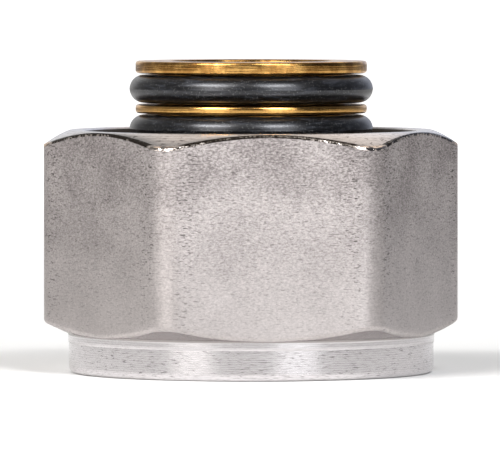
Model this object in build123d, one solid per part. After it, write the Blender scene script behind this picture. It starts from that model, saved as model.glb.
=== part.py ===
from build123d import *
import os
from math import cos, radians, tan

# Eurocone compression adapter for pipe of 20 mm, standing on the collar of its union nut with its nose up.
# The nut is a forged hexagon with a turned collar and a turned end chamfer. Inside it the split clamp ring
# sits in a cone, the insert's shoulder rests on the clamp ring, and the insert's nose stands out of the
# mouth. Millimetres. The axis is Z, and the origin is the middle of the collar's lower face.

# Union nut, outside
across_flats = 30.0
nut_height = 19.7
corner_radius = 2.8  # forged rounding of the six upright corners
end_chamfer_angle = 29.0  # from the end face
end_chamfer_inset = 0.2  # the chamfer starts this far inside the flats
collar_inset = 0.18  # the collar is this much smaller in radius than the flats
collar_height = 2.46  # turned band
turning_step = 0.06  # left by the tool where the turned band meets the forged neck
neck_height = 0.74
neck_radius = 0.18
under_chamfer_angle = 25.0  # from the level, on the corners above the neck
foot_radius = 0.5  # lower edge of the collar

# Union nut, inside: the G 3/4 thread is a plain wall at its minor diameter
thread_minor_diameter = 24.12
thread_mouth_diameter = 27.6
entry_chamfer = 0.8
entry_clearance = 0.4  # round the pipe
entry_height = 3.3
seat_half_angle = 12.0

# What drops in through the thread, the clamp ring and the shoulder, clears it by this much
through_clearance = 0.5

# Clamp ring, between the thread and the pipe
ring_wall = 1.41
ring_clearance = 0.15  # round the pipe
ring_seat_clearance = 0.1  # square to the cone of the nut
ring_taper_length = 4.0
ring_length = 9.2
ring_slot_width = 2.0
ring_edge = 0.3
grip_groove_depth = 0.3
grip_groove_flank = 0.3  # from its middle to its edge
grip_groove_pitch = 1.3
grip_groove_count = 5
grip_groove_start = 1.2  # from the toe to the first groove

# Pipe that the adapter takes: what the thread and the clamp ring leave, 20 mm
pipe_diameter = thread_minor_diameter - 2 * (through_clearance + ring_wall + ring_clearance)
pipe_wall = 2.0

# Insert, from the shoulder up
shoulder_thickness = 2.4
shoulder_edge = 0.4
cone_length = 1.0
cone_half_angle = 15.0
nose_diameter = 18.8
root_flange = 0.7
mid_flange = 0.71
tip_flange = 1.0
flange_edge = 0.2
mouth_diameter = 13.3
mouth_half_angle = 30.0

# Insert, from the shoulder down
tail_wall = 0.95  # between the waterway and the floors of the tail's grooves
tail_clearance = 0.1  # inside the pipe
tail_length = 13.6
tail_lead_length = 1.2
tail_lead_depth = 0.6
barb_depth = 0.4
barb_pitch = 1.1
barb_count = 2
tail_groove_first = 4.0  # from the shoulder to the middle of the upper groove
tail_groove_spacing = 3.6

# Seals
nose_seal_section = 2.28
nose_seal_proud = 0.5  # stands out of the nose
nose_groove_play = 0.125  # each side of the seal
tail_seal_section = 1.8
tail_seal_proud = 0.35
tail_groove_play = 0.15
seal_seat_gap = 0.02  # between a seal and the floor of its groove

# Insulating ring
insulator_thickness = 1.2
insulator_clearance = 0.1  # round the tail, and inside the pipe's diameter

# Cutting tools run past the faces that they cut by this much
overrun = 1.0

# Edges are picked out by their place to within this
pick_tolerance = 0.001

# Radii that the pieces share
flat_radius = across_flats / 2
thread_radius = thread_minor_diameter / 2
pipe_radius = pipe_diameter / 2
entry_radius = pipe_radius + entry_clearance
ring_bore_radius = pipe_radius + ring_clearance
ring_outer_radius = thread_radius - through_clearance
seat_slope = tan(radians(seat_half_angle))
ring_toe_radius = ring_outer_radius - ring_taper_length * seat_slope
shoulder_radius = thread_radius - through_clearance
nose_radius = nose_diameter / 2
nose_floor = nose_radius + nose_seal_proud - nose_seal_section
tail_radius = pipe_radius - pipe_wall - tail_clearance
tail_floor = tail_radius + tail_seal_proud - tail_seal_section
waterway_radius = tail_floor - tail_wall

# Levels, each resting on the one below it: nut cone, clamp ring, shoulder, nose
seat_offset = ring_seat_clearance / cos(radians(seat_half_angle))
ring_low = entry_height + (ring_toe_radius + seat_offset - entry_radius) / seat_slope
shoulder_low = ring_low + ring_length
shoulder_high = shoulder_low + shoulder_thickness
cone_high = shoulder_high + cone_length
nose_groove_width = nose_seal_section + 2 * nose_groove_play
lower_groove_low = cone_high + root_flange
upper_groove_low = lower_groove_low + nose_groove_width + mid_flange
tip = upper_groove_low + nose_groove_width + tip_flange
tail_end = shoulder_low - tail_length


def turned(*outline):
    """A solid turned about Z from a closed outline of (radius, height) points."""
    points = [(radius, 0, height) for radius, height in outline]
    return revolve(make_face(Polyline(*points, close=True)), Axis.Z)


def rounded_edge(solid, radius, height, size):
    """The solid with its circular edge of that radius and height rounded."""
    circles = solid.edges().filter_by(GeomType.CIRCLE)
    level = circles.filter_by(lambda edge: abs(edge.center().Z - height) < pick_tolerance)
    here = level.filter_by(lambda edge: abs(edge.radius - radius) < pick_tolerance)
    return fillet(here, size)


def groove_cutter(surface, floor, low, width, edge):
    """A ring that cuts a square groove with bevelled edges into a surface of that radius."""
    high = low + width
    return turned(
        (floor, low),
        (surface - edge, low),
        (surface + edge, low - 2 * edge),
        (surface + edge, high + 2 * edge),
        (surface - edge, high),
        (floor, high),
    )


def make_union_nut():
    """Forged hexagon between a turned collar and a turned end chamfer, bored through."""
    collar_radius = flat_radius - collar_inset
    neck_outer = collar_radius + turning_step
    neck_top = collar_height + neck_height
    rim_radius = flat_radius - end_chamfer_inset
    reach = flat_radius / cos(radians(30)) + overrun
    envelope = turned(
        (0, 0),
        (collar_radius, 0),
        (collar_radius, collar_height),
        (neck_outer, collar_height),
        (neck_outer, neck_top),
        (reach, neck_top + (reach - neck_outer) * tan(radians(under_chamfer_angle))),
        (reach, nut_height - (reach - rim_radius) * tan(radians(end_chamfer_angle))),
        (rim_radius, nut_height),
        (0, nut_height),
    )
    envelope = rounded_edge(envelope, collar_radius, 0, foot_radius)
    envelope = rounded_edge(envelope, neck_outer, neck_top, neck_radius)

    hexagon = extrude(RegularPolygon(flat_radius, 6, major_radius=False), nut_height)
    hexagon = fillet(hexagon.edges().filter_by(Axis.Z), corner_radius)

    mouth_radius = thread_mouth_diameter / 2
    mouth_depth = mouth_radius - thread_radius
    bore = turned(
        (0, -overrun),
        (entry_radius + entry_chamfer + overrun, -overrun),
        (entry_radius, entry_chamfer),
        (entry_radius, entry_height),
        (thread_radius, entry_height + (thread_radius - entry_radius) / seat_slope),
        (thread_radius, nut_height - mouth_depth),
        (mouth_radius + overrun, nut_height + overrun),
        (0, nut_height + overrun),
    )
    return (envelope & hexagon) - bore


def make_clamp_ring():
    """Tapered ring with grip grooves inside, split on one side so that it can close on the pipe."""
    body = turned(
        (ring_bore_radius, ring_low),
        (ring_toe_radius, ring_low),
        (ring_outer_radius, ring_low + ring_taper_length),
        (ring_outer_radius, shoulder_low - ring_edge),
        (ring_outer_radius - ring_edge, shoulder_low),
        (ring_bore_radius, shoulder_low),
    )
    for index in range(grip_groove_count):
        middle = ring_low + grip_groove_start + index * grip_groove_pitch
        body -= turned(
            (ring_bore_radius + grip_groove_depth, middle),
            (ring_bore_radius - grip_groove_depth, middle - 2 * grip_groove_flank),
            (ring_bore_radius - grip_groove_depth, middle + 2 * grip_groove_flank),
        )
    slot_reach = ring_outer_radius + overrun
    slot_length = ring_length + 2 * overrun
    one_side = (Align.CENTER, Align.MIN, Align.MIN)
    slot = Box(ring_slot_width, slot_reach, slot_length, align=one_side)
    return body - Pos(0, 0, ring_low - overrun) * slot


def make_insert():
    """Turned sleeve: grooved nose above the shoulder, grooved and barbed tail below it."""
    cone_base = nose_radius + cone_length * tan(radians(cone_half_angle))
    body = turned(
        (0, tail_end),
        (tail_radius - tail_lead_depth, tail_end),
        (tail_radius, tail_end + tail_lead_length),
        (tail_radius, shoulder_low),
        (shoulder_radius - shoulder_edge, shoulder_low),
        (shoulder_radius, shoulder_low + shoulder_edge),
        (shoulder_radius, shoulder_high - shoulder_edge),
        (shoulder_radius - shoulder_edge, shoulder_high),
        (cone_base, shoulder_high),
        (nose_radius, cone_high),
        (nose_radius, tip - flange_edge),
        (nose_radius - flange_edge, tip),
        (0, tip),
    )
    for low in (lower_groove_low, upper_groove_low):
        body -= groove_cutter(nose_radius, nose_floor, low, nose_groove_width, flange_edge)

    tail_groove_width = tail_seal_section + 2 * tail_groove_play
    for middle in tail_seal_levels():
        low = middle - tail_groove_width / 2
        body -= groove_cutter(tail_radius, tail_floor, low, tail_groove_width, tail_groove_play)

    for index in range(barb_count):
        step = tail_end + tail_lead_length + index * barb_pitch
        body -= turned(
            (tail_radius - barb_depth, step),
            (tail_radius, step + barb_pitch),
            (tail_radius + overrun, step + barb_pitch),
            (tail_radius + overrun, step),
        )

    mouth_radius = mouth_diameter / 2
    mouth_slope = tan(radians(mouth_half_angle))
    waterway = turned(
        (0, tail_end - overrun),
        (waterway_radius, tail_end - overrun),
        (waterway_radius, tip - (mouth_radius - waterway_radius) / mouth_slope),
        (mouth_radius + overrun * mouth_slope, tip + overrun),
        (0, tip + overrun),
    )
    return body - waterway


def tail_seal_levels():
    """Heights of the two tail seals, the upper one first."""
    upper = shoulder_low - tail_groove_first
    return upper, upper - tail_groove_spacing


def make_seal(surface, proud, section, height):
    """Round-section rubber ring that stands proud of a grooved surface."""
    thickness = section / 2 - seal_seat_gap / 2
    return Pos(0, 0, height) * Torus(surface + proud - thickness, thickness)


def make_insulating_ring():
    """Flat plastic ring on the tail, against the shoulder's underside."""
    inner = tail_radius + insulator_clearance
    outer = pipe_radius - insulator_clearance
    low = shoulder_low - insulator_thickness
    return turned((inner, low), (outer, low), (outer, shoulder_low), (inner, shoulder_low))


nose_seal_lower = lower_groove_low + nose_groove_width / 2
nose_seal_upper = upper_groove_low + nose_groove_width / 2
tail_seal_upper, tail_seal_lower = tail_seal_levels()

nodes = {
    "union_nut": make_union_nut(),
    "clamp_ring": make_clamp_ring(),
    "insert": make_insert(),
    "insulating_ring": make_insulating_ring(),
    "tail_o_ring_lower": make_seal(tail_radius, tail_seal_proud, tail_seal_section, tail_seal_lower),
    "tail_o_ring_upper": make_seal(tail_radius, tail_seal_proud, tail_seal_section, tail_seal_upper),
    "nose_o_ring_lower": make_seal(nose_radius, nose_seal_proud, nose_seal_section, nose_seal_lower),
    "nose_o_ring_upper": make_seal(nose_radius, nose_seal_proud, nose_seal_section, nose_seal_upper),
}

os.makedirs("parts", exist_ok=True)
for name, solid in nodes.items():
    export_step(solid, f"parts/{name}.step")
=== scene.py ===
import bpy
import numpy as np
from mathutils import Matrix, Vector


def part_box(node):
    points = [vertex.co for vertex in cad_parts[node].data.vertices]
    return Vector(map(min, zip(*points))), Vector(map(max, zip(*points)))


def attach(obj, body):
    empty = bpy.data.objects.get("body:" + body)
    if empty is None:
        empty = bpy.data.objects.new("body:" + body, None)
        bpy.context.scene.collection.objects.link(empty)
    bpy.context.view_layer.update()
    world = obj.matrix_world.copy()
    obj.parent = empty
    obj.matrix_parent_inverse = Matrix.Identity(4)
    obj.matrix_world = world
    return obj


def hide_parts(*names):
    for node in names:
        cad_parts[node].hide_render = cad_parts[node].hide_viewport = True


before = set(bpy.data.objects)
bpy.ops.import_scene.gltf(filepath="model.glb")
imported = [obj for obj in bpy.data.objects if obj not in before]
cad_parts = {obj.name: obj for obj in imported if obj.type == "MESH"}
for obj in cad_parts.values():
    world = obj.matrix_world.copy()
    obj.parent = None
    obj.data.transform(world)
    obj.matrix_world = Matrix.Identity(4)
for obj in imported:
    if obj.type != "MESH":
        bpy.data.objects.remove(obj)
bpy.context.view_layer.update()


# Insert: the brass sleeve that carries the water. It is turned from bar and left bare, with two thin
# flanges and a grooved nose above its shoulder, and a grooved, barbed tail that goes into the pipe.
MM = 0.001

nose_radius = 9.4
flange_rounding = 0.22
groove_rounding = 0.06
mouth_radius = 6.65
mouth_half_angle = np.radians(30)
waterway_radius = 5.5
shoulder_rounding = 0.35
shoulder_thickness = 2.4
root_cone = 1.0
root_cone_half_angle = np.radians(15)
nose_floor = 7.62
nose_groove = 2.53
tail_radius = 7.9
tail_floor = 6.45
tail_groove = 2.1
tail_length = 13.6
tail_lead = 1.2
tail_lead_depth = 0.6
barb_depth = 0.4
barb_pitch = 1.1
barb_count = 2
sharp_rounding = 0.03
bore_end_rounding = 0.3
tail_end_rounding = 0.15
tail_groove_rounding = 0.12
tail_root_rounding = 0.1
nose_root_rounding = 0.15
nose_foot_rounding = 0.3
mouth_edge_rounding = 0.08
throat_rounding = 0.5
insert_columns = 256

bright_brass = "#E8B569"
dull_brass = "#8C5D2A"
patch_shift = (-0.035, -0.043, -0.01)
handled_depth = nose_groove + 1.0


def linear(code, alpha=1.0):
    """An sRGB hex colour as linear RGBA: each channel goes through the sRGB curve backwards."""
    srgb = np.array([int(code[i:i + 2], 16) for i in (1, 3, 5)]) / 255
    straight = np.where(srgb <= 0.04045, srgb / 12.92, ((srgb + 0.055) / 1.055) ** 2.4)
    return (*straight.tolist(), alpha)


def per_metre(size):
    """How many repeats of a pattern of that size in millimetres fit in a metre."""
    return 1000 / size


def add(tree, kind, inputs=None, **settings):
    """One node with its settings, and its sockets by name or number, each a value or another's output."""
    made = tree.nodes.new(kind)
    for key, value in settings.items():
        setattr(made, key, value)
    for key, value in (inputs or {}).items():
        if isinstance(value, bpy.types.NodeSocket):
            tree.links.new(value, made.inputs[key])
        else:
            made.inputs[key].default_value = value
    return made


def new_material(name):
    """An empty material of that name, and its node tree."""
    material = bpy.data.materials.new(name)
    material.use_nodes = True
    material.node_tree.nodes.clear()
    return material, material.node_tree


def rounded_outline(corners, arc_steps=5, spacing=0.6):
    """Closed outline through (radius, height, rounding) corners, in millimetres. Each corner is an arc that
    touches both its sides, and the straights between arcs have points bunched towards their two ends."""
    at = np.array([corner[:2] for corner in corners], float)
    rounding = np.array([corner[2] for corner in corners], float)
    ahead = np.roll(at, -1, axis=0) - at
    length = np.hypot(*ahead.T)
    ahead = ahead / length[:, None]
    behind = np.roll(ahead, 1, axis=0)
    cross = behind[:, 0] * ahead[:, 1] - behind[:, 1] * ahead[:, 0]
    turn = np.arctan2(cross, (behind * ahead).sum(axis=1))
    reach = rounding * np.tan(np.abs(turn) / 2)
    side = np.sign(turn)[:, None] * np.stack([-behind[:, 1], behind[:, 0]], axis=1)
    centre = at - behind * reach[:, None] + side * rounding[:, None]
    points = []
    for i in range(len(at)):
        swing = np.linspace(0, turn[i], arc_steps)[:, None]
        out = -side[i]
        across = np.array([-out[1], out[0]])
        points.append(centre[i] + rounding[i] * (np.cos(swing) * out + np.sin(swing) * across))
        follower = (i + 1) % len(at)
        start = at[i] + ahead[i] * reach[i]
        end = at[follower] - ahead[i] * reach[follower]
        count = 4 + int(np.hypot(*(end - start)) / spacing)
        share = (1 - np.cos(np.linspace(0, np.pi, count))) / 2
        points.append(start + share[1:-1, None] * (end - start))
    return np.concatenate(points)


def closed_mesh(name, x, y, z):
    """Object from grids of x, y and z in millimetres: the rows follow a closed outline and the columns go
    round the axis, and both close on themselves. Each four neighbours make one face that points outwards."""
    rows, columns = x.shape
    index = np.arange(rows * columns).reshape(rows, columns)
    right = np.roll(index, -1, axis=1)
    up = np.roll(index, -1, axis=0)
    corner = np.roll(right, -1, axis=0)
    faces = np.stack([index, right, corner, up], axis=-1).reshape(-1, 4)
    points = np.stack([x, y, z], axis=-1).reshape(-1, 3) * MM
    mesh = bpy.data.meshes.new(name)
    mesh.from_pydata(points.tolist(), [], faces.tolist())
    mesh.polygons.foreach_set("use_smooth", np.ones(len(faces), bool))
    mesh.update()
    piece = bpy.data.objects.new(name, mesh)
    bpy.context.scene.collection.objects.link(piece)
    return piece


def turned_piece(name, outline, columns):
    """Solid turned about the axis: every outline point (radius, height) goes once round at its radius."""
    angle = np.linspace(0, 2 * np.pi, columns, endpoint=False)
    radius = outline[:, :1]
    height = np.broadcast_to(outline[:, 1:], (len(outline), columns))
    return closed_mesh(name, radius * np.cos(angle), radius * np.sin(angle), height)


def level_of(node):
    """Height of the middle of a CAD node, in millimetres."""
    low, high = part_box(node)
    return (low.z + high.z) / 2 / MM


def grooves(middles, width, surface, floor, rounding):
    """Outline corners of square grooves cut to a floor radius, from the lowest up."""
    corners = []
    for middle in middles:
        corners.append((surface, middle - width / 2, rounding))
        corners.append((floor, middle - width / 2, groove_rounding))
        corners.append((floor, middle + width / 2, groove_rounding))
        corners.append((surface, middle + width / 2, rounding))
    return corners


insert_low, insert_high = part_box("insert")
tail_end = insert_low.z / MM
tip = insert_high.z / MM
shoulder_radius = insert_high.x / MM
shoulder_low = tail_end + tail_length
shoulder_high = shoulder_low + shoulder_thickness
mouth_depth = (mouth_radius - waterway_radius) / np.tan(mouth_half_angle)
nose_middles = (level_of("nose_o_ring_lower"), level_of("nose_o_ring_upper"))
tail_middles = (level_of("tail_o_ring_lower"), level_of("tail_o_ring_upper"))

insert_corners = [
    (waterway_radius, tail_end, bore_end_rounding),
    (tail_radius - tail_lead_depth, tail_end, tail_end_rounding),
    (tail_radius, tail_end + tail_lead, sharp_rounding),
]
for barb in range(barb_count):
    root = tail_end + tail_lead + barb * barb_pitch
    insert_corners.append((tail_radius - barb_depth, root + sharp_rounding, sharp_rounding))
    insert_corners.append((tail_radius, root + barb_pitch, sharp_rounding))
insert_corners += grooves(tail_middles, tail_groove, tail_radius, tail_floor, tail_groove_rounding)
insert_corners += [
    (tail_radius, shoulder_low, tail_root_rounding),
    (shoulder_radius, shoulder_low, shoulder_rounding),
    (shoulder_radius, shoulder_high, shoulder_rounding),
    (nose_radius + root_cone * np.tan(root_cone_half_angle), shoulder_high, nose_root_rounding),
    (nose_radius, shoulder_high + root_cone, nose_foot_rounding),
]
insert_corners += grooves(nose_middles, nose_groove, nose_radius, nose_floor, flange_rounding)
insert_corners += [
    (nose_radius, tip, flange_rounding),
    (mouth_radius, tip, mouth_edge_rounding),
    (waterway_radius, tip - mouth_depth, throat_rounding),
]
insert = turned_piece("insert_sleeve", rounded_outline(insert_corners), insert_columns)


def tool_path(tree, place):
    """Where the turning tool passed: x and y stay as they are, and height has the radius added, so that a
    pattern in the third direction makes rings on a cylinder, on a cone and on a flat end alike."""
    parts = add(tree, "ShaderNodeSeparateXYZ", {0: place})
    across = add(tree, "ShaderNodeVectorMath", {0: place, 1: (1, 1, 0)}, operation="MULTIPLY")
    out = add(tree, "ShaderNodeVectorMath", {0: across.outputs[0]}, operation="LENGTH")
    run = add(tree, "ShaderNodeMath", {0: parts.outputs["Z"], 1: out.outputs["Value"]}, operation="ADD")
    return add(tree, "ShaderNodeCombineXYZ", {
        0: parts.outputs["X"], 1: parts.outputs["Y"], 2: run.outputs[0],
    }).outputs[0]


def turned_brass():
    """Bare turned brass: a yellow metal with fine tool rings, dulled in brown patches by handling, most of
    all at the tip. The rings are drawn coarser than the tool's feed, so that they show."""
    material, tree = new_material("turned_bare_brass")
    place = add(tree, "ShaderNodeTexCoord").outputs["Object"]
    patch_size = per_metre(1.4)
    ring_pitch = per_metre(0.16)
    ring_length = per_metre(6.0)
    moved = add(tree, "ShaderNodeMapping", {"Vector": place, "Location": patch_shift})
    patches = add(tree, "ShaderNodeTexNoise", {
        "Vector": moved.outputs[0], "Scale": patch_size, "Detail": 6.0, "Roughness": 0.7,
    })
    ringed = add(tree, "ShaderNodeMapping", {
        "Vector": tool_path(tree, place), "Scale": (ring_length, ring_length, ring_pitch),
    })
    rings = add(tree, "ShaderNodeTexNoise", {"Vector": ringed.outputs[0], "Scale": 1.0, "Detail": 3.0})
    dull = add(tree, "ShaderNodeMapRange", {
        "Value": patches.outputs[0], "From Min": 0.34, "From Max": 0.62, "To Min": 0.0, "To Max": 0.85,
    }, interpolation_type="SMOOTHSTEP")
    up = add(tree, "ShaderNodeSeparateXYZ", {0: place})
    handled = add(tree, "ShaderNodeMapRange", {
        "Value": up.outputs["Z"], "From Min": (tip - handled_depth) * MM, "From Max": tip * MM,
        "To Min": 0.35, "To Max": 1.0,
    })
    dull = add(tree, "ShaderNodeMath", {0: dull.outputs[0], 1: handled.outputs[0]}, operation="MULTIPLY")
    tint = add(tree, "ShaderNodeMix", {
        "Factor": dull.outputs[0], 6: linear(bright_brass), 7: linear(dull_brass),
    }, data_type="RGBA")
    gloss = add(tree, "ShaderNodeMapRange", {
        "Value": rings.outputs[0], "From Min": 0.3, "From Max": 0.7, "To Min": 0.14, "To Max": 0.27,
    })
    uneven = add(tree, "ShaderNodeMath", {0: patches.outputs[0], 1: rings.outputs[0]}, operation="ADD")
    relief = add(tree, "ShaderNodeBump", {"Height": uneven.outputs[0], "Strength": 0.6, "Distance": 0.00003})
    shader = add(tree, "ShaderNodeBsdfPrincipled", {
        "Base Color": tint.outputs[2], "Metallic": 1.0,
        "Roughness": gloss.outputs[0], "Normal": relief.outputs[0],
    })
    add(tree, "ShaderNodeOutputMaterial", {"Surface": shader.outputs[0]})
    return material


brass = turned_brass()
insert.data.materials.append(brass)
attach(insert, "insert_group")
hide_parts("insert")


# Insulating ring: a thin washer of white plastic on the tail, pushed up against the shoulder. It keeps the
# pipe's cut end, and the aluminium in its wall, off the brass.
plastic_white = "#E4E1D8"


def plain_plastic():
    """White engineering plastic, turned: matte and slightly warm."""
    material, tree = new_material("white_turned_plastic")
    shader = add(tree, "ShaderNodeBsdfPrincipled", {"Base Color": linear(plastic_white), "Roughness": 0.5})
    add(tree, "ShaderNodeOutputMaterial", {"Surface": shader.outputs[0]})
    return material


insulating_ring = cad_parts["insulating_ring"].data
insulating_ring.materials.clear()
insulating_ring.materials.append(plain_plastic())


# Seals: four moulded rubber rings, two on the nose and two on the tail, stretched into their grooves. The
# mould leaves a fine parting line round the outside, and handling leaves dust and pale rub marks.
parting_height = 0.015
parting_width = 0.07
parting_crowding = 0.7
seal_columns = 320
seal_rows = 72

rubber_black = "#09090B"
rubber_dust = "#8F8F8E"
rubber_rub = "#303238"
rubber_sheen = "#D2D2D6"


def moulded_seal(name, node):
    """Ring of round section about the axis, with a ridge of bell shape along its outside, half way up. The
    points of the section are bunched towards the ridge by adding a sine to their even spacing."""
    low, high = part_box(node)
    section = (high.z - low.z) / 2 / MM
    centre = high.x / MM - section
    middle = (high.z + low.z) / 2 / MM
    even = np.linspace(0, 2 * np.pi, seal_rows, endpoint=False)
    around = (even - parting_crowding * np.sin(even))[:, None]
    from_ridge = (around + np.pi) % (2 * np.pi) - np.pi
    ridge = parting_height * np.exp(-((from_ridge * section / parting_width) ** 2))
    angle = np.linspace(0, 2 * np.pi, seal_columns, endpoint=False)
    radius = centre + (section - parting_height + ridge) * np.cos(around)
    height = middle + section * np.sin(around) + 0 * angle
    return closed_mesh(name, radius * np.cos(angle), radius * np.sin(angle), height)


def seal_rubber():
    """Black moulded rubber: a soft sheen, with dust specks and pale marks rubbed along the ring."""
    material, tree = new_material("moulded_black_rubber")
    place = add(tree, "ShaderNodeTexCoord").outputs["Object"]
    rub_length = per_metre(1.4)
    rub_width = per_metre(0.18)
    stretched = add(tree, "ShaderNodeMapping", {
        "Vector": place, "Scale": (rub_length, rub_length, rub_width),
    })
    rubs = add(tree, "ShaderNodeTexNoise", {
        "Vector": stretched.outputs[0], "Scale": 1.0, "Detail": 4.0, "Roughness": 0.6,
    })
    specks = add(tree, "ShaderNodeTexNoise", {"Vector": place, "Scale": per_metre(0.13), "Detail": 2.0})
    rubbed = add(tree, "ShaderNodeMapRange", {
        "Value": rubs.outputs[0], "From Min": 0.48, "From Max": 0.7, "To Min": 0.0, "To Max": 0.9,
    }, interpolation_type="SMOOTHSTEP")
    dusty = add(tree, "ShaderNodeMapRange", {
        "Value": specks.outputs[0], "From Min": 0.59, "From Max": 0.73, "To Min": 0.0, "To Max": 0.45,
    })
    worn = add(tree, "ShaderNodeMix", {
        "Factor": rubbed.outputs[0], 6: linear(rubber_black), 7: linear(rubber_rub),
    }, data_type="RGBA")
    dusted = add(tree, "ShaderNodeMix", {
        "Factor": dusty.outputs[0], 6: worn.outputs[2], 7: linear(rubber_dust),
    }, data_type="RGBA")
    relief = add(tree, "ShaderNodeBump", {"Height": specks.outputs[0], "Strength": 0.35, "Distance": 0.00002})
    shader = add(tree, "ShaderNodeBsdfPrincipled", {
        "Base Color": dusted.outputs[2], "Roughness": 0.28, "Normal": relief.outputs[0],
        "IOR": 1.75, "Specular Tint": linear(rubber_sheen),
    })
    add(tree, "ShaderNodeOutputMaterial", {"Surface": shader.outputs[0]})
    return material


rubber = seal_rubber()
for node in ("tail_o_ring_lower", "tail_o_ring_upper", "nose_o_ring_lower", "nose_o_ring_upper"):
    seal = moulded_seal("seal_" + node, node)
    seal.data.materials.append(rubber)
    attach(seal, "insert_group")
    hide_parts(node)


# Clamp ring: a split ring of turned brass with a taper outside and grip grooves inside, which the cone of
# the nut squeezes onto the pipe. It lies loose between the nut and the shoulder.
clamp_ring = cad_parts["clamp_ring"].data
clamp_ring.materials.clear()
clamp_ring.materials.append(brass)


# Union nut: a hexagon forged from brass, blasted and nickel plated. Its collar, end chamfer and threaded
# mouth are turned, and the turning leaves a burr where the chamfer cuts through the flats.
nut_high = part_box("union_nut")[1]
nut_height = nut_high.z / MM
flat_radius = nut_high.y / MM
corner_rounding = 2.8
corner_half_angle = np.radians(30)
foot_rounding = 0.5
collar_radius = 14.82
collar_height = 2.46
neck_radius = 14.88
step_groove_depth = 0.002
step_groove_width = 0.05
neck_top = 3.2
neck_rounding = 0.18
under_slope = np.tan(np.radians(25))
under_edge = 0.3
chamfer_slope = np.tan(np.radians(29))
chamfer_dome = 0.1
rim_radius = 14.8
rim_rounding = 0.08
burr_edge = 0.2
burr_inwards = 0.1
burr_roughness = 0.06
burr_waves = (61, 97, 151)
mouth_rounding = 0.1

thread_radius = 12.06
thread_depth = 1.162
thread_pitch = 1.814
thread_end = 12.0
thread_fade = 0.7
mouth_edge_radius = 13.8
seat_top = 11.1
entry_radius = 10.4
entry_height = 3.3
entry_chamfer = 0.8
entry_edge = 0.1
entry_edge_side = 0.07

nut_columns = 384
corner_crowding = 0.6
blasted, turned, burred, inside, smooth, under, lip = range(7)


def hexagon_reach(angle):
    """How far a hexagon with rounded corners reaches at each angle: the flat's distance over the cosine of
    the angle from its middle, or, close to a corner, the far side of the corner's circle."""
    step = 2 * corner_half_angle
    off = np.abs((angle + corner_half_angle) % step - corner_half_angle)
    flat = flat_radius / np.cos(corner_half_angle - off)
    centre = (flat_radius - corner_rounding) / np.cos(corner_half_angle)
    chord = np.sqrt(np.maximum(corner_rounding ** 2 - (centre * np.sin(off)) ** 2, 0))
    arc = centre * np.cos(off) + chord
    along = centre + corner_rounding * np.cos(corner_half_angle)
    touch = np.arctan2(corner_rounding * np.sin(corner_half_angle), along)
    return np.where(off < touch, arc, flat)


def bend(start, corner, end, count):
    """Rounded corner: a curve from start to end that is pulled towards the corner, a quadratic blend of the
    three."""
    t = np.linspace(0, 1, count)[:, None]
    return [(1 - t) ** 2 * a + 2 * t * (1 - t) * b + t ** 2 * c for a, b, c in zip(start, corner, end)]


def straight(start, end, count):
    """Even points from start to end, without the two ends."""
    t = np.linspace(0, 1, count + 2)[1:-1, None]
    return [a + t * (b - a) for a, b in zip(start, end)]


def under_curve(share, reach):
    """The nut's underside at shares of its length: first the arc out of the neck, then the cone, cut off
    where it meets the hexagon's reach."""
    swing = np.pi / 2 - np.arctan(under_slope)
    centre_radius = neck_radius + neck_rounding
    centre_height = neck_top - neck_rounding * np.tan(swing / 2)
    arc_radius = centre_radius - neck_rounding * np.cos(swing)
    cut = np.arccos(np.clip((centre_radius - reach) / neck_rounding, np.cos(swing), 1))
    cone = np.maximum(reach - arc_radius, 0) * np.hypot(1, under_slope)
    run = share * (neck_rounding * cut + cone)
    turned_by = np.minimum(run / neck_rounding, cut)
    on_cone = np.maximum(run - neck_rounding * cut, 0) / np.hypot(1, under_slope)
    radius = centre_radius - neck_rounding * np.cos(turned_by) + on_cone
    height = centre_height + neck_rounding * np.sin(turned_by) + on_cone * under_slope
    return radius, height, neck_rounding * cut + cone


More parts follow.
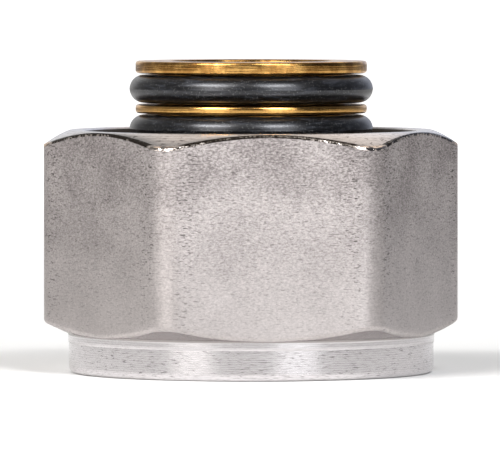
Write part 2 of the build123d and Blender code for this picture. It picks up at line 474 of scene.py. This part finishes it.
def nut_grid():
    """Rows of (radius, height) by angle, from the foot outwards, up the collar, neck, underside, flats and
    chamfer to the rim, and down the thread, seat and entry to the foot again. The columns crowd towards the
    six corners. The burr is a bend whose corner moves in and out by a mean of three sines of the angle. The
    thread is a raised cosine of height less turns, fading out above the seat."""
    even = np.linspace(0, 2 * np.pi, nut_columns, endpoint=False)
    angle = (even - corner_crowding * np.sin(6 * even) / 6)[None, :]
    reach = hexagon_reach(angle)
    same = np.zeros_like(angle)
    rows = []

    def lay(finish, radius, height):
        rows.append((finish, radius + same, height + same))

    foot_inner = entry_radius + entry_chamfer
    foot_centre = collar_radius - foot_rounding
    lay(turned, *straight((foot_inner, 0), (foot_centre, 0), 5))
    swing = np.linspace(-np.pi / 2, 0, 8)[:, None]
    lay(turned, foot_centre + foot_rounding * np.cos(swing), foot_rounding + foot_rounding * np.sin(swing))
    step_low = (collar_radius, collar_height - step_groove_width)
    step_root = (collar_radius - step_groove_depth, collar_height)
    step_high = (neck_radius, collar_height + step_groove_width / 2)
    lay(turned, *straight((collar_radius, foot_rounding), step_low, 12))
    lay(turned, *straight(step_low, step_root, 2))
    lay(smooth, *straight(step_root, step_high, 2))
    arc_start = under_curve(np.zeros((1, 1)), reach)[1].min()
    lay(smooth, *straight(step_high, (neck_radius, arc_start), 4))

    length = under_curve(np.ones((1, 1)), reach)[2]
    kept = 1 - np.minimum(under_edge, 0.5 * length) / length
    share = np.linspace(0, 1, 14)[:, None] * kept
    radius, height, _ = under_curve(share, reach)
    lay(under, radius, height)
    _, face_low, _ = under_curve(np.ones((1, 1)), reach)
    flat_start = (reach, face_low + under_edge)
    turn_up = bend((radius[-1:], height[-1:]), (reach, face_low), flat_start, 8)
    lay(blasted, *[part[1:] for part in turn_up])

    face_high = nut_height - (reach - rim_radius) * chamfer_slope
    flat_end = (reach, face_high - burr_edge)
    lay(blasted, *straight(flat_start, flat_end, 30))
    slant = np.minimum(burr_inwards, 0.45 * (reach - rim_radius))
    uneven = burr_roughness * np.mean([np.sin(n * angle + i) for i, n in enumerate(burr_waves)], axis=0)
    on_chamfer = (reach - slant, face_high + slant * chamfer_slope)
    burr = bend(flat_end, (reach + uneven, face_high + uneven), on_chamfer, 7)
    lay(lip, *[part[:3] for part in burr])
    lay(burred, *[part[3:] for part in burr])
    rim_start = (rim_radius + rim_rounding, nut_height - rim_rounding * chamfer_slope)
    radius, height = straight(on_chamfer, rim_start, 8)
    inwards = (on_chamfer[0] - radius) / (on_chamfer[0] - rim_start[0])
    dome = chamfer_dome * (on_chamfer[0] - rim_start[0]) / (reach.max() - rim_radius)
    lay(turned, radius, height + dome * 4 * inwards * (1 - inwards))
    lay(turned, *bend(rim_start, (rim_radius, nut_height), (rim_radius - rim_rounding, nut_height), 4))
    mouth_start = (mouth_edge_radius + mouth_rounding, nut_height)
    mouth_end = (mouth_edge_radius - mouth_rounding, nut_height - mouth_rounding)
    lay(turned, *straight((rim_radius - rim_rounding, nut_height), mouth_start, 5))
    lay(turned, *bend(mouth_start, (mouth_edge_radius, nut_height), mouth_end, 4))

    height = np.linspace(nut_height - 1.5 * mouth_rounding, seat_top + 0.02, 66)[:, None]
    phase = 2 * np.pi * (height / thread_pitch) - angle
    fade = np.clip((height - (thread_end - thread_fade)) / (2 * thread_fade), 0, 1)
    fade = fade * fade * (3 - 2 * fade)
    thread = thread_radius + fade * thread_depth * (1 - np.cos(phase)) / 2
    lead_in = mouth_edge_radius - (nut_height - height)
    lay(inside, np.maximum(thread, lead_in), height)
    lay(inside, *straight((thread_radius, seat_top), (entry_radius, entry_height), 10))
    entry_low = (entry_radius, entry_chamfer + entry_edge)
    lay(inside, *straight((entry_radius, entry_height), entry_low, 5))
    chamfer_end = (entry_radius + entry_edge_side, entry_chamfer - entry_edge_side)
    lay(inside, *bend(entry_low, (entry_radius, entry_chamfer), chamfer_end, 3))
    lay(inside, *straight(chamfer_end, (foot_inner, 0), 3))

    finish = np.concatenate([np.full(part[1].shape, part[0], np.int32) for part in rows])
    radius = np.concatenate([part[1] for part in rows])
    height = np.concatenate([part[2] for part in rows])
    return angle, radius, height, finish


angle, radius, height, finish = nut_grid()
nut = closed_mesh("union_nut_forging", radius * np.cos(angle), radius * np.sin(angle), height)
# The smooth neck shares the turned finish, the underside the blasted one and the lip the burr's.
look = np.choose(finish, [blasted, turned, burred, inside, turned, blasted, burred])
nut.data.polygons.foreach_set("material_index", look.ravel())
grained = (finish < smooth) | (finish == lip)
# The underside mask marks where the blasted finish paints a darker grey as a painted shade.
for name, rows in (("grain", grained), ("underside", finish == under), ("lip", finish == lip)):
    mask = nut.data.attributes.new(name, "FLOAT", "POINT")
    mask.data.foreach_set("value", rows.astype(np.float32).ravel())

blasted_pale = "#D1CAC8"
blasted_shade = "#857E7D"
blasted_crease = "#5C5654"
# Painted shade: the flat darker grey of the nut's underside.
underside_painted_shade = "#A39D9B"
turned_pale = "#DEDADB"
turned_shade = "#C4BFBF"
turned_dark = "#8E898A"
# Painted shade: the near-black of the cut edge, where its rounding reflects the dark room.
burr_painted_dark = "#17120E"
burr_bare = "#E6DAD2"
burr_sheen = "#F2E2D2"
# Painted shade: the dark brown inside the threaded mouth.
thread_painted_shade = "#4A413A"

# Radii that follow the corners: creases grow denser towards them and thin out on their middles, where the
# burr is bare. The grain grows from low to high up the flats, and with it a painted shade that greys the
# flats towards the top and leaves their lower part paler.
creases_few = 15.9 * MM
creases_many = 16.45 * MM
corner_edge = 16.6 * MM
corner_middle = 16.8 * MM
bare_start = 16.4 * MM
bare_full = 16.6 * MM
bare_shift = (0.0, 0.03, 0.01)
grain_and_shade_low = 0.38
grain_and_shade_high = 1.15


def blasted_nickel():
    """Nickel plate over a blasted forging: a warm grey satin metal with a fine grain and short dark creases,
    both stronger towards the chamfered end and absent on the underside. Towards that end the flats are also
    greyed as a painted shade, so that their lower part is paler, and the underside is painted a flat darker
    grey as a painted shade. The creases crowd on both sides of a corner and spare its middle. The blasting's
    own grain is finer than a pixel, so it is drawn coarser."""
    material, tree = new_material("blasted_nickel_plate")
    place = add(tree, "ShaderNodeTexCoord").outputs["Object"]
    grain_length = per_metre(0.23)
    grain_width = per_metre(0.15)
    pitted = add(tree, "ShaderNodeMapping", {
        "Vector": place, "Scale": (grain_length, grain_length, grain_width),
    })
    grain = add(tree, "ShaderNodeTexNoise", {
        "Vector": pitted.outputs[0], "Scale": 1.0, "Detail": 3.0, "Roughness": 0.85,
    })
    crease_length = per_metre(0.5)
    crease_width = per_metre(0.11)
    creased = add(tree, "ShaderNodeMapping", {
        "Vector": place, "Scale": (crease_length, crease_length, crease_width),
    })
    creases = add(tree, "ShaderNodeTexNoise", {
        "Vector": creased.outputs[0], "Scale": 1.0, "Detail": 1.0, "Roughness": 0.6, "Distortion": 0.6,
    })
    clouds = add(tree, "ShaderNodeTexNoise", {"Vector": place, "Scale": per_metre(4.0), "Detail": 2.0})
    up = add(tree, "ShaderNodeSeparateXYZ", {0: place})
    share = add(tree, "ShaderNodeAttribute", attribute_name="grain").outputs["Fac"]
    # Greyer towards the chamfered end: partly the blasting's coarser grain, partly painted shade that keeps
    # the lower flats paler.
    rising_grain_and_shade = add(tree, "ShaderNodeMapRange", {
        "Value": up.outputs["Z"], "From Min": neck_top * MM, "From Max": nut_height * MM,
        "To Min": grain_and_shade_low, "To Max": grain_and_shade_high,
    })
    grain_and_shade = add(tree, "ShaderNodeMath", {0: rising_grain_and_shade.outputs[0], 1: share}, operation="MULTIPLY")
    surface = add(tree, "ShaderNodeMath", {0: grain.outputs[0], 1: creases.outputs[0]}, operation="ADD")
    height = add(tree, "ShaderNodeMath", {0: surface.outputs[0], 1: grain_and_shade.outputs[0]}, operation="MULTIPLY")
    relief = add(tree, "ShaderNodeBump", {"Height": height.outputs[0], "Strength": 1.0, "Distance": 0.000016})
    mottled = add(tree, "ShaderNodeMath", {
        0: clouds.outputs[0], 1: 0.3, 2: grain.outputs[0],
    }, operation="MULTIPLY_ADD")
    grey = add(tree, "ShaderNodeMapRange", {
        "Value": mottled.outputs[0], "From Min": 0.48, "From Max": 0.85, "To Min": 1.0, "To Max": 0.0,
    })
    greyed = add(tree, "ShaderNodeMath", {0: grey.outputs[0], 1: grain_and_shade.outputs[0]}, operation="MULTIPLY")
    tint = add(tree, "ShaderNodeMix", {
        "Factor": greyed.outputs[0], 6: linear(blasted_pale), 7: linear(blasted_shade),
    }, data_type="RGBA")
    deep = add(tree, "ShaderNodeMapRange", {
        "Value": creases.outputs[0], "From Min": 0.41, "From Max": 0.33, "To Min": 0.0, "To Max": 1.0,
    })
    across = add(tree, "ShaderNodeVectorMath", {0: place, 1: (1, 1, 0)}, operation="MULTIPLY")
    out = add(tree, "ShaderNodeVectorMath", {0: across.outputs[0]}, operation="LENGTH")
    folded = add(tree, "ShaderNodeMapRange", {
        "Value": out.outputs["Value"], "From Min": creases_few, "From Max": creases_many,
        "To Min": 0.55, "To Max": 1.15,
    })
    spared = add(tree, "ShaderNodeMapRange", {
        "Value": out.outputs["Value"], "From Min": corner_edge, "From Max": corner_middle,
        "To Min": 1.0, "To Max": 0.4,
    })
    along = add(tree, "ShaderNodeMath", {0: folded.outputs[0], 1: spared.outputs[0]}, operation="MULTIPLY")
    deeper = add(tree, "ShaderNodeMath", {0: deep.outputs[0], 1: along.outputs[0]}, operation="MULTIPLY")
    deepened = add(tree, "ShaderNodeMath", {0: deeper.outputs[0], 1: grain_and_shade.outputs[0]}, operation="MULTIPLY")
    creased_tint = add(tree, "ShaderNodeMix", {
        "Factor": deepened.outputs[0], 6: tint.outputs[2], 7: linear(blasted_crease),
    }, data_type="RGBA")
    # Painted shade: the underside is painted a flat darker grey, for the shadowed floor it faces.
    underside_shade_mask = add(tree, "ShaderNodeAttribute", attribute_name="underside").outputs["Fac"]
    painted_shade_below = add(tree, "ShaderNodeMix", {
        "Factor": underside_shade_mask, 6: creased_tint.outputs[2], 7: linear(underside_painted_shade),
    }, data_type="RGBA")
    rough = add(tree, "ShaderNodeMapRange", {
        "Value": rising_grain_and_shade.outputs[0], "From Min": grain_and_shade_low, "From Max": grain_and_shade_high,
        "To Min": 0.44, "To Max": 0.68,
    })
    gloss = add(tree, "ShaderNodeMix", {"Factor": share, 2: 0.22, 3: rough.outputs[0]})
    shader = add(tree, "ShaderNodeBsdfPrincipled", {
        "Base Color": painted_shade_below.outputs[2], "Metallic": 1.0,
        "Roughness": gloss.outputs[0], "Normal": relief.outputs[0],
    })
    add(tree, "ShaderNodeOutputMaterial", {"Surface": shader.outputs[0]})
    return material


def turned_nickel():
    """Nickel plate over a turned surface: fine tool rings spread the light up and down, so that highlights
    stretch along the axis and broken dark lines run round the collar. The neck above it has the same gloss
    without the lines. A wave repeats every tenth of pi, which its scale makes up for."""
    material, tree = new_material("turned_nickel_plate")
    place = tool_path(tree, add(tree, "ShaderNodeTexCoord").outputs["Object"])
    feed = add(tree, "ShaderNodeTexWave", {
        "Vector": place, "Scale": per_metre(0.18) * np.pi / 10, "Distortion": 1.5, "Detail": 2.0,
        "Detail Scale": 0.4,
    }, bands_direction="Z")
    ring_length = per_metre(0.6)
    ring_pitch = per_metre(0.1)
    ringed = add(tree, "ShaderNodeMapping", {
        "Vector": place, "Scale": (ring_length, ring_length, ring_pitch),
    })
    rings = add(tree, "ShaderNodeTexNoise", {
        "Vector": ringed.outputs[0], "Scale": 1.0, "Detail": 2.0, "Roughness": 0.6,
    })
    lines = add(tree, "ShaderNodeMath", {
        0: feed.outputs["Fac"], 1: 0.25, 2: rings.outputs[0],
    }, operation="MULTIPLY_ADD")
    share = add(tree, "ShaderNodeAttribute", attribute_name="grain").outputs["Fac"]
    height = add(tree, "ShaderNodeMath", {0: lines.outputs[0], 1: share}, operation="MULTIPLY")
    relief = add(tree, "ShaderNodeBump", {"Height": height.outputs[0], "Strength": 0.12, "Distance": 0.00002})
    shade = add(tree, "ShaderNodeMapRange", {
        "Value": lines.outputs[0], "From Min": 0.4, "From Max": 0.75, "To Min": 0.7, "To Max": 0.0,
    })
    tint = add(tree, "ShaderNodeMix", {
        "Factor": shade.outputs[0], 6: linear(turned_pale), 7: linear(turned_shade),
    }, data_type="RGBA")
    torn = add(tree, "ShaderNodeMapRange", {
        "Value": rings.outputs[0], "From Min": 0.4, "From Max": 0.3, "To Min": 0.0, "To Max": 0.9,
    })
    scores = add(tree, "ShaderNodeMath", {0: torn.outputs[0], 1: share}, operation="MULTIPLY")
    scored = add(tree, "ShaderNodeMix", {
        "Factor": scores.outputs[0], 6: tint.outputs[2], 7: linear(turned_dark),
    }, data_type="RGBA")
    around = add(tree, "ShaderNodeTangent", direction_type="RADIAL", axis="Z")
    shader = add(tree, "ShaderNodeBsdfPrincipled", {
        "Base Color": scored.outputs[2], "Metallic": 1.0, "Roughness": 0.24, "Normal": relief.outputs[0],
        "Anisotropic": 0.6, "Anisotropic Rotation": 0.25, "Tangent": around.outputs[0],
    })
    add(tree, "ShaderNodeOutputMaterial", {"Surface": shader.outputs[0]})
    return material


def cut_edge():
    """Edge left by the cutting tool, uneven: painted nearly black, a painted shade for the dark that its
    rounding reflects, with bright bare metal at the six corners and in small chips along its lower lip."""
    material, tree = new_material("cut_edge_painted_dark")
    place = add(tree, "ShaderNodeTexCoord").outputs["Object"]
    nicks = add(tree, "ShaderNodeTexNoise", {"Vector": place, "Scale": per_metre(0.3), "Detail": 2.0})
    relief = add(tree, "ShaderNodeBump", {"Height": nicks.outputs[0], "Strength": 1.0, "Distance": 0.00006})
    moved = add(tree, "ShaderNodeMapping", {"Vector": place, "Location": bare_shift})
    stretches = add(tree, "ShaderNodeTexNoise", {
        "Vector": moved.outputs[0], "Scale": per_metre(3.0), "Detail": 4.0,
    })
    across = add(tree, "ShaderNodeVectorMath", {0: place, 1: (1, 1, 0)}, operation="MULTIPLY")
    out = add(tree, "ShaderNodeVectorMath", {0: across.outputs[0]}, operation="LENGTH")
    corner = add(tree, "ShaderNodeMapRange", {
        "Value": out.outputs["Value"], "From Min": bare_start, "From Max": bare_full,
    })
    lower = add(tree, "ShaderNodeAttribute", attribute_name="lip").outputs["Fac"]
    chips = add(tree, "ShaderNodeMapRange", {"Value": nicks.outputs[0], "From Min": 0.47, "From Max": 0.56})
    some = add(tree, "ShaderNodeMapRange", {
        "Value": stretches.outputs[0], "From Min": 0.47, "From Max": 0.55,
    })
    chipped = add(tree, "ShaderNodeMath", {0: chips.outputs[0], 1: some.outputs[0]}, operation="MULTIPLY")
    lipped = add(tree, "ShaderNodeMath", {0: chipped.outputs[0], 1: lower}, operation="MULTIPLY")
    bare = add(tree, "ShaderNodeMath", {0: corner.outputs[0], 1: lipped.outputs[0]}, operation="MAXIMUM")
    # Near-black painted shade on the edge, with bare metal where the corner and chip masks say.
    tint = add(tree, "ShaderNodeMix", {
        "Factor": bare.outputs[0], 6: linear(burr_painted_dark), 7: linear(burr_bare),
    }, data_type="RGBA")
    shader = add(tree, "ShaderNodeBsdfPrincipled", {
        "Base Color": tint.outputs[2], "Metallic": bare.outputs[0], "Roughness": 0.14,
        "Specular Tint": linear(burr_sheen), "Normal": relief.outputs[0],
    })
    add(tree, "ShaderNodeOutputMaterial", {"Surface": shader.outputs[0]})
    return material


def thread_plate():
    """Plate inside the threaded mouth: a dull metal painted dark brown, a painted shade for the recess, so
    that the hole looks dark and brownish.
    """
    material, tree = new_material("thread_plate_painted_shade")
    shader = add(tree, "ShaderNodeBsdfPrincipled", {
        "Base Color": linear(thread_painted_shade), "Metallic": 1.0, "Roughness": 0.5,
    })
    add(tree, "ShaderNodeOutputMaterial", {"Surface": shader.outputs[0]})
    return material


for material in (blasted_nickel(), turned_nickel(), cut_edge(), thread_plate()):
    nut.data.materials.append(material)
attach(nut, "nut")
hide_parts("union_nut")


# Camera: it stands a little to the left of the middle flat, only just above the nose, so that the adapter
# is seen almost level. It is far off with a long lens, which keeps the perspective weak.
camera_distance = 0.65
camera_azimuth = np.radians(-5.5)
camera_height = 0.0358
aim = Vector((-0.0001, 0, 0.01195))


def towards(azimuth, elevation):
    """Unit direction, from degrees round from the camera's side and degrees above the floor."""
    turn = camera_azimuth + np.radians(azimuth)
    rise = np.radians(elevation)
    return Vector((np.sin(turn) * np.cos(rise), -np.cos(turn) * np.cos(rise), np.sin(rise)))


camera_data = bpy.data.cameras.new("camera")
camera_data.sensor_fit = "HORIZONTAL"
camera_data.sensor_width = 36.0
camera_data.lens = 576.0
camera_data.clip_start = 0.01
camera_data.clip_end = 100.0
camera = bpy.data.objects.new("camera", camera_data)
camera.location = towards(0, 0) * camera_distance + Vector((0, 0, camera_height))
camera.rotation_euler = (aim - camera.location).to_track_quat("-Z", "Y").to_euler()
bpy.context.scene.collection.objects.link(camera)
bpy.context.scene.camera = camera


# Floor: a wide sheet of matte white paper under the adapter, lit by the lamps near it and kept as pale
# further off by a glow that grows with distance. It keeps the adapter's shadow.
floor_radius = 12.0
glow_start = 0.0
glow_full = 0.5
glow_strength = 0.95
strip_full = 0.05
strip_end = 0.12
paper_white = "#F0F0EF"

rim = np.linspace(0, 2 * np.pi, 96, endpoint=False)
disc = np.stack([floor_radius * np.cos(rim), floor_radius * np.sin(rim), np.zeros_like(rim)], axis=1)
floor_mesh = bpy.data.meshes.new("floor")
floor_mesh.from_pydata(disc.tolist(), [], [tuple(range(len(rim)))])
floor = bpy.data.objects.new("floor", floor_mesh)
bpy.context.scene.collection.objects.link(floor)


def paper():
    """Matte white paper. Its glow lies behind the adapter, in a strip as wide as the camera sees, and shows
    only where it is seen straight, in a reflection or through glass."""
    material, tree = new_material("white_paper")
    place = add(tree, "ShaderNodeTexCoord").outputs["Object"]
    swung = add(tree, "ShaderNodeMapping", {"Vector": place, "Rotation": (0, 0, -camera_azimuth)})
    away = add(tree, "ShaderNodeSeparateXYZ", {0: swung.outputs[0]})
    glow = add(tree, "ShaderNodeMapRange", {
        "Value": away.outputs["Y"], "From Min": glow_start, "From Max": glow_full,
        "To Min": 0.0, "To Max": glow_strength,
    })
    depth = add(tree, "ShaderNodeMath", {0: away.outputs["Y"], 1: camera_distance}, operation="ADD")
    slant = add(tree, "ShaderNodeMath", {0: away.outputs["X"], 1: depth.outputs[0]}, operation="DIVIDE")
    aside = add(tree, "ShaderNodeMath", {0: slant.outputs[0]}, operation="ABSOLUTE")
    strip = add(tree, "ShaderNodeMapRange", {
        "Value": aside.outputs[0], "From Min": strip_full, "From Max": strip_end,
        "To Min": 1.0, "To Max": 0.0,
    }, interpolation_type="SMOOTHSTEP")
    glow = add(tree, "ShaderNodeMath", {0: glow.outputs[0], 1: strip.outputs[0]}, operation="MULTIPLY")
    path = add(tree, "ShaderNodeLightPath")
    seen = add(tree, "ShaderNodeMath", {
        0: path.outputs["Is Camera Ray"], 1: path.outputs["Is Glossy Ray"],
    }, operation="MAXIMUM")
    seen = add(tree, "ShaderNodeMath", {
        0: seen.outputs[0], 1: path.outputs["Is Transmission Ray"],
    }, operation="MAXIMUM")
    shown = add(tree, "ShaderNodeMath", {0: glow.outputs[0], 1: seen.outputs[0]}, operation="MULTIPLY")
    matte = add(tree, "ShaderNodeBsdfDiffuse", {"Color": linear(paper_white)})
    light = add(tree, "ShaderNodeEmission", {"Color": (1, 1, 1, 1), "Strength": shown.outputs[0]})
    both = add(tree, "ShaderNodeAddShader", {0: matte.outputs[0], 1: light.outputs[0]})
    add(tree, "ShaderNodeOutputMaterial", {"Surface": both.outputs[0]})
    return material


floor_mesh.materials.append(paper())


# Light: two tall softboxes in front, left and right of the camera, each with a small hot core near its top.
# The room is dim towards the camera and pale behind it, with a white backdrop straight behind the adapter
# and a warm glow from the ceiling.
def softbox(name, azimuth, elevation, distance, width, tall, radiance, colour):
    """Upright area lamp aimed at the nut, from degrees round from the camera and above the floor. Its power
    is its radiance times its area times pi."""
    lamp_data = bpy.data.lights.new(name, "AREA")
    lamp_data.shape = "RECTANGLE"
    lamp_data.size = width
    lamp_data.size_y = tall
    lamp_data.color = linear(colour)[:3]
    lamp_data.energy = radiance * width * tall * np.pi
    lamp = bpy.data.objects.new(name, lamp_data)
    direction = towards(azimuth, elevation)
    lamp.location = aim + direction * distance
    lamp.rotation_euler = (-direction).to_track_quat("-Z", "Y").to_euler()
    lamp.visible_camera = False
    bpy.context.scene.collection.objects.link(lamp)


softbox("softbox_left", azimuth=-38, elevation=32, distance=0.6, width=0.277, tall=0.62,
        radiance=3.55, colour="#FFFDFB")
softbox("softbox_right", azimuth=29.5, elevation=32, distance=0.6, width=0.29, tall=0.62,
        radiance=3.42, colour="#F8FBFF")
softbox("core_left", azimuth=-45, elevation=40, distance=0.55, width=0.25, tall=0.08,
        radiance=23.5, colour="#FFFFFF")
softbox("core_right", azimuth=26, elevation=40, distance=0.55, width=0.19, tall=0.08,
        radiance=23.0, colour="#FFFFFF")

room_dim = 0.05
room_pale = 0.25
overhead_glow = 0.8
backdrop_glow = 0.6
wall_left = "#FFFEFC"
wall_right = "#E2EAFF"
ceiling_warm = "#FFF0DE"
room_sides = {
    "pale": towards(-165, 0),
    "ceiling": towards(170, 50.3),
    "backdrop": towards(180, 5.7),
    "right": towards(110, 0),
}

world = bpy.data.worlds.new("studio")
world.use_nodes = True
room = world.node_tree
room.nodes.clear()
ray = add(room, "ShaderNodeTexCoord").outputs["Generated"]
facing = {}
for name, side in room_sides.items():
    cosine = add(room, "ShaderNodeVectorMath", {0: ray, 1: tuple(side)}, operation="DOT_PRODUCT")
    facing[name] = cosine.outputs["Value"]
pale = add(room, "ShaderNodeMapRange", {
    "Value": facing["pale"], "From Min": -0.5, "From Max": 0.8, "To Min": room_dim, "To Max": room_pale,
}, interpolation_type="SMOOTHSTEP")
bank = add(room, "ShaderNodeMapRange", {
    "Value": facing["ceiling"], "From Min": 0.88, "From Max": 0.99, "To Min": 0.0, "To Max": overhead_glow,
}, interpolation_type="SMOOTHSTEP")
sheet = add(room, "ShaderNodeMapRange", {
    "Value": facing["backdrop"], "From Min": 0.74, "From Max": 0.93,
    "To Min": 0.0, "To Max": backdrop_glow,
}, interpolation_type="SMOOTHSTEP")
level = add(room, "ShaderNodeMath", {0: pale.outputs[0], 1: sheet.outputs[0]}, operation="ADD")
cool = add(room, "ShaderNodeMapRange", {"Value": facing["right"], "From Min": 0.0, "From Max": 0.8})
wall_tint = add(room, "ShaderNodeMix", {
    "Factor": cool.outputs[0], 6: linear(wall_left), 7: linear(wall_right),
}, data_type="RGBA")
walls = add(room, "ShaderNodeBackground", {"Color": wall_tint.outputs[2], "Strength": level.outputs[0]})
ceiling = add(room, "ShaderNodeBackground", {"Color": linear(ceiling_warm), "Strength": bank.outputs[0]})
both = add(room, "ShaderNodeAddShader", {0: walls.outputs[0], 1: ceiling.outputs[0]})
add(room, "ShaderNodeOutputWorld", {"Surface": both.outputs[0]})
bpy.context.scene.world = world

bpy.context.scene.view_settings.view_transform = "Standard"
